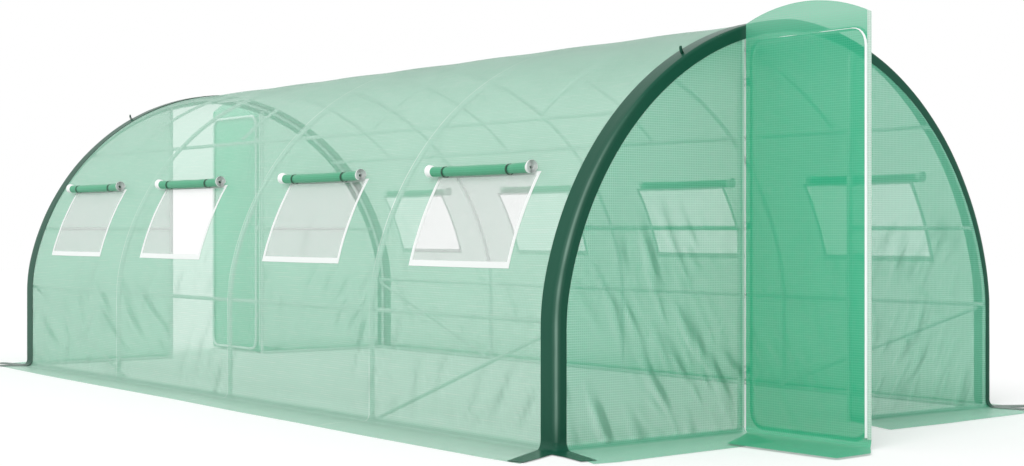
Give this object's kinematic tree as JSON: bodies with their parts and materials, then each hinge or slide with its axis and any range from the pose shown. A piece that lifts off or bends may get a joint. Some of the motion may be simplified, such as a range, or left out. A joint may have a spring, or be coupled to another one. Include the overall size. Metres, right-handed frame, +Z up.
{
  "type": "polytunnel greenhouse",
  "caption": "Walk-in tunnel greenhouse: bent steel hoops under a green film cover, mesh windows with rolled flaps, and a hinged door at each end.",
  "frame": {"origin": "middle of the footprint, on the ground", "axes": "+Z up, -Y towards the front end, +X to the right seen from the front"},
  "size_m": [3.7006, 7.84, 2.001],
  "materials": {
    "galvanised_tube": "galvanised, satin",
    "door_tube": "white coated, satin",
    "hinge_steel": "zinc plated",
    "side_film": "translucent grid-reinforced film",
    "end_film": "translucent grid-reinforced film",
    "door_film": "translucent grid-reinforced film",
    "skirt_film": "film lying on the ground",
    "dark_film": "dark green woven tape",
    "rolled_film": "rolled film with straps",
    "window_mesh": "fine insect mesh with a white binding"
  },
  "bodies": {
    "structure": {"hoop_1": "galvanised_tube", "hoop_2": "galvanised_tube", "hoop_3": "galvanised_tube", "hoop_4": "galvanised_tube", "hoop_5": "galvanised_tube", "roof_rib_1": "galvanised_tube", "roof_rib_2": "galvanised_tube", "roof_rib_3": "galvanised_tube", "roof_rib_4": "galvanised_tube", "ridge_rail": "galvanised_tube", "left_upper_rail": "galvanised_tube", "right_upper_rail": "galvanised_tube", "front_cross_rails": "galvanised_tube", "back_cross_rails": "galvanised_tube", "left_low_rail": "galvanised_tube", "right_low_rail": "galvanised_tube", "left_base_rail": "galvanised_tube", "right_base_rail": "galvanised_tube", "front_door_posts": "galvanised_tube", "back_door_posts": "galvanised_tube", "front_base_rails": "galvanised_tube", "back_base_rails": "galvanised_tube", "corner_braces": "galvanised_tube", "roof_cover": "side_film", "front_wall": "end_film", "back_wall": "end_film", "front_sleeve": "dark_film", "back_sleeve": "dark_film", "tie_loops": "dark_film", "left_skirt": "skirt_film", "right_skirt": "skirt_film", "front_skirts": "skirt_film", "back_skirts": "skirt_film", "left_screens": "window_mesh", "right_screens": "window_mesh", "left_rolls": "rolled_film", "right_rolls": "rolled_film", "front_hinges": "hinge_steel", "back_hinges": "hinge_steel"},
    "front_door": {"front_door_frame": "door_tube", "front_door_sheet": "door_film"},
    "back_door": {"back_door_frame": "door_tube", "back_door_sheet": "door_film"}
  },
  "joints": [
    {"name": "front_door_hinge", "type": "hinge", "parent": "structure", "child": "front_door", "pos_m": [-0.3525, -3.02, 0], "axis": [0, 0, 1], "range_deg": [-30, 90]},
    {"name": "back_door_hinge", "type": "hinge", "parent": "structure", "child": "back_door", "pos_m": [0.3525, 3.02, 0], "axis": [0, 0, 1], "range_deg": [-30, 90]}
  ]
}
